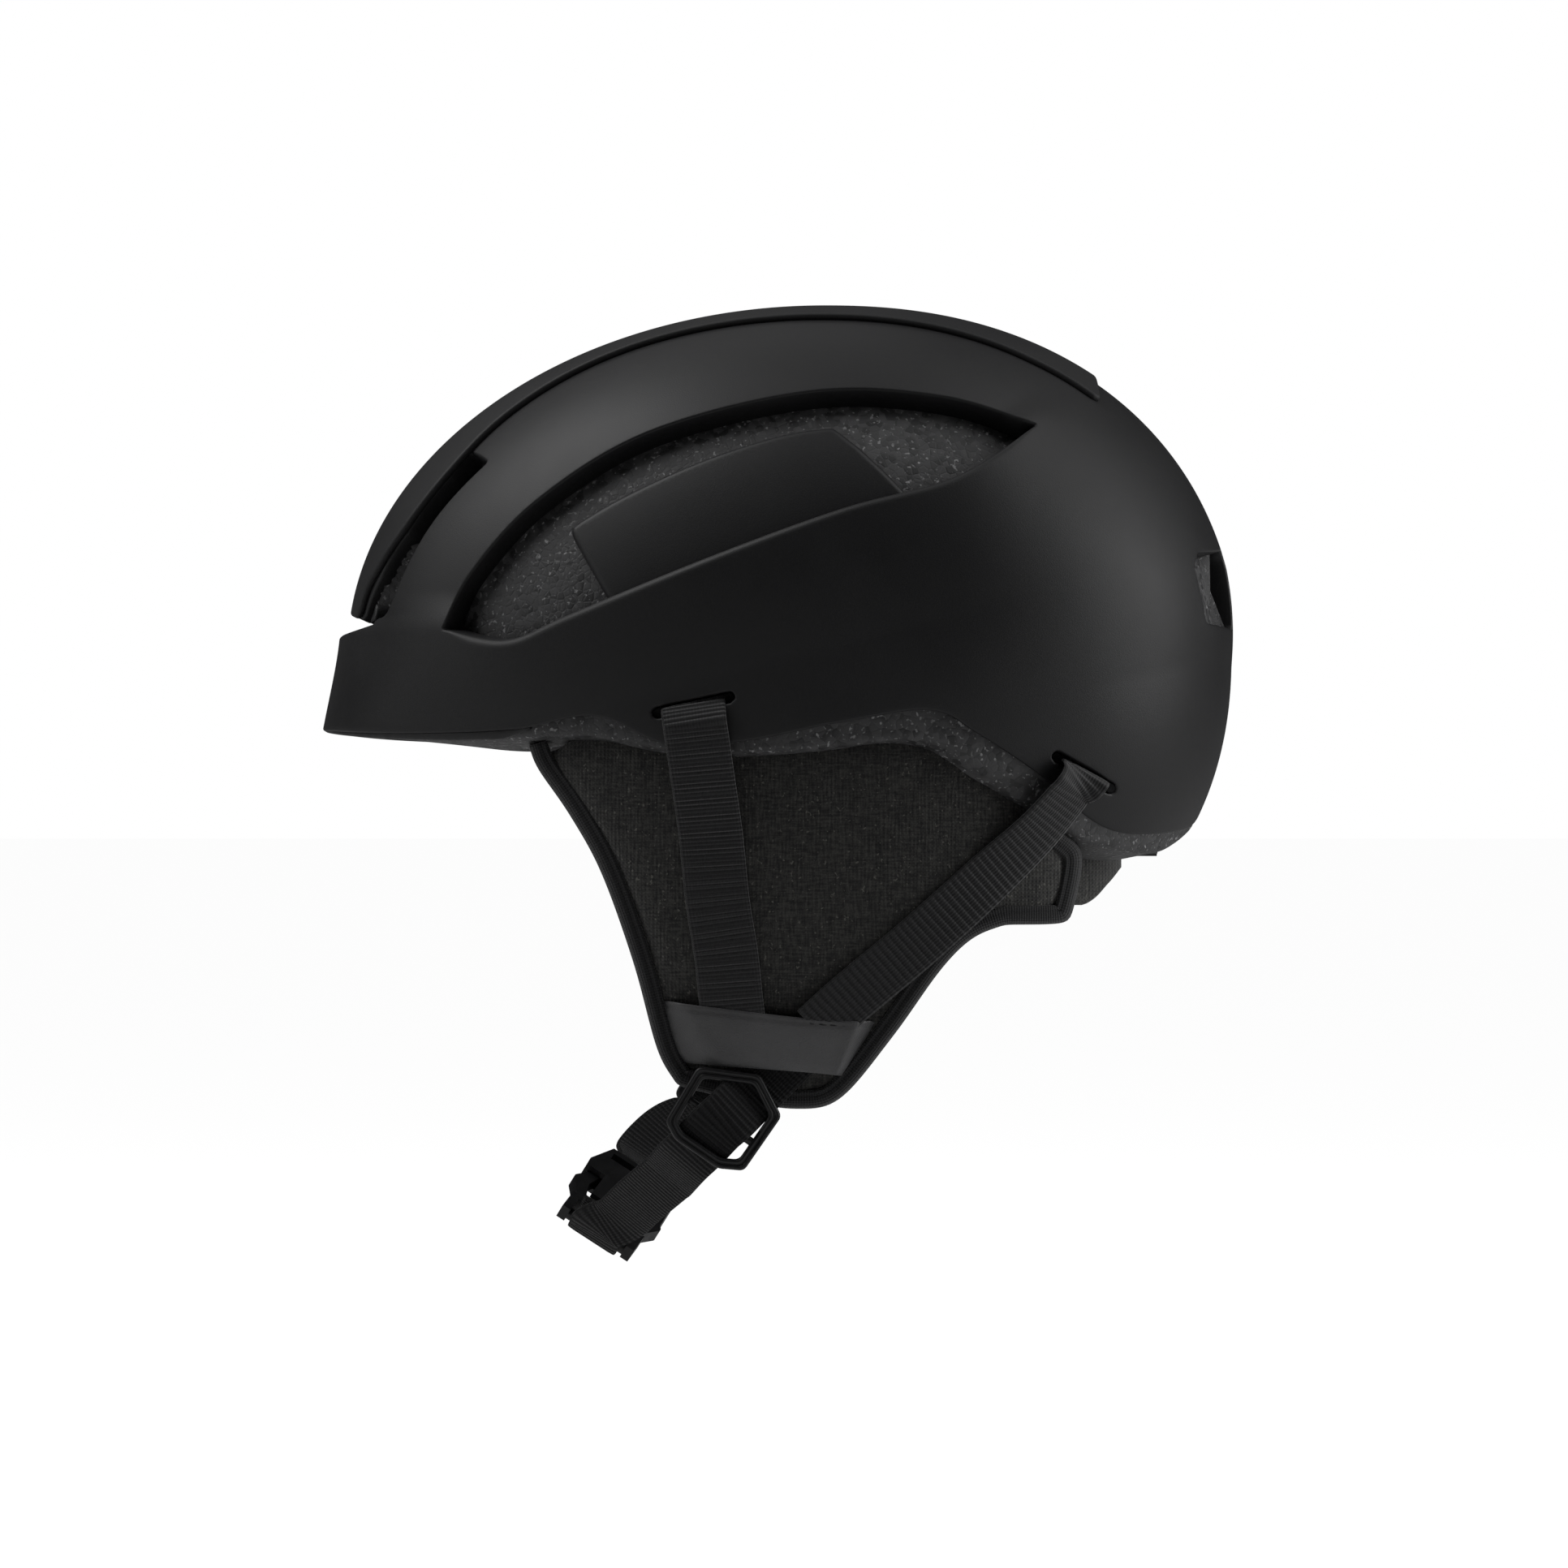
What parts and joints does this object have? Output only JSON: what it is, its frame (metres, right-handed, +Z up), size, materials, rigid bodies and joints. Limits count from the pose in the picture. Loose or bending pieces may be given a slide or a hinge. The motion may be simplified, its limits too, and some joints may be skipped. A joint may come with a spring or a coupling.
{
  "type": "ski helmet",
  "caption": "Ski helmet with vented shell and centre ridge over a foam liner, soft ear pads, Y webbing, side-release chin buckle and dial-adjusted nape cradle.",
  "frame": {"origin": "centre of the head opening at brow height, the point where a wearer's head is held", "axes": "+Z up along the wearer's head, -Y forwards, +X to the wearer's left"},
  "size_m": [0.2168, 0.2804, 0.2932],
  "materials": {
    "shell_black": "matte",
    "ridge_black": "satin",
    "liner_foam": "beaded",
    "trim_black": "satin",
    "comfort_fabric": "brushed",
    "ear_fabric": "woven",
    "binding_knit": "knitted",
    "cover_leather": "smooth",
    "webbing": "ribbed",
    "hardware_black": "satin",
    "pinion_acetal": "smooth",
    "screw_steel": "zinc plated"
  },
  "bodies": {
    "helmet": {"outer_shell": "shell_black", "top_ridge": "ridge_black", "vent_bridge_left": "shell_black", "vent_bridge_right": "shell_black", "brow_trim": "trim_black", "foam_liner": "liner_foam", "brow_pad": "comfort_fabric", "crown_pad_front": "comfort_fabric", "crown_pad_rear": "comfort_fabric", "side_pads": "comfort_fabric", "rear_pads": "comfort_fabric", "ear_pad_left": "ear_fabric", "ear_pad_right": "ear_fabric", "ear_binding_left": "binding_knit", "ear_binding_right": "binding_knit", "strap_cover_left": "cover_leather", "strap_cover_right": "cover_leather", "ear_pad_snaps": "hardware_black", "strap_anchors": "hardware_black", "strap_front_left": "webbing", "strap_front_right": "webbing", "strap_rear_left": "webbing", "strap_rear_right": "webbing", "strap_divider_left": "hardware_black", "strap_divider_right": "hardware_black", "hanger_clips": "hardware_black"},
    "chin_strap": {"chin_web_left": "webbing", "chin_web_right": "webbing", "buckle_socket": "hardware_black"},
    "buckle_tongue_body": {"buckle_tongue": "hardware_black", "chin_web_fold": "webbing"},
    "prong_front": {"buckle_prong_front": "hardware_black"},
    "prong_rear": {"buckle_prong_rear": "hardware_black"},
    "cradle": {"cradle_housing": "hardware_black", "cradle_cover": "hardware_black", "cradle_hanger": "hardware_black", "nape_pad": "comfort_fabric"},
    "dial": {"fit_dial": "hardware_black", "dial_pinion": "pinion_acetal", "dial_screw": "screw_steel"},
    "rack_left": {"band_left": "hardware_black"},
    "rack_right": {"band_right": "hardware_black"}
  },
  "joints": [
    {"name": "chin_swing", "type": "hinge", "parent": "helmet", "child": "chin_strap", "pos_m": [0, -0.0255, -0.1265], "axis": [1, 0, 0], "range_deg": [-30, 40]},
    {"name": "tongue_release", "type": "slide", "parent": "chin_strap", "child": "buckle_tongue_body", "axis": [0.9206, -0.2501, -0.3], "range_m": [0, 0.016]},
    {"name": "prong_front_squeeze", "type": "hinge", "parent": "buckle_tongue_body", "child": "prong_front", "pos_m": [-0.0056, -0.0629, -0.14567], "axis": [-0.3871, -0.4818, -0.7862], "range_deg": [0, 6], "stiffness_Nm_per_rad": 0.05},
    {"name": "prong_rear_squeeze", "type": "hinge", "parent": "buckle_tongue_body", "child": "prong_rear", "pos_m": [-0.00449, -0.0451, -0.15713], "axis": [0.3871, 0.4818, 0.7862], "range_deg": [0, 6], "stiffness_Nm_per_rad": 0.05},
    {"name": "cradle_height", "type": "slide", "parent": "helmet", "child": "cradle", "axis": [0, 0, 1], "range_m": [-0.006, 0.006]},
    {"name": "dial_turn", "type": "hinge", "parent": "cradle", "child": "dial", "pos_m": [0, 0.106, -0.026], "axis": [0, -1, 0], "range_deg": [0, 115]},
    {"name": "band_left_slide", "type": "slide", "parent": "cradle", "child": "rack_left", "axis": [-1, 0, 0], "range_m": [0, 0.0102]},
    {"name": "band_right_slide", "type": "slide", "parent": "cradle", "child": "rack_right", "axis": [1, 0, 0], "range_m": [0, 0.0102]}
  ],
  "couplings": [
    {"joint": "band_left_slide", "follows": "dial_turn", "m_per_rad": 0.005},
    {"joint": "band_right_slide", "follows": "dial_turn", "m_per_rad": 0.005},
    {"joint": "prong_rear_squeeze", "follows": "prong_front_squeeze", "ratio": 1}
  ]
}
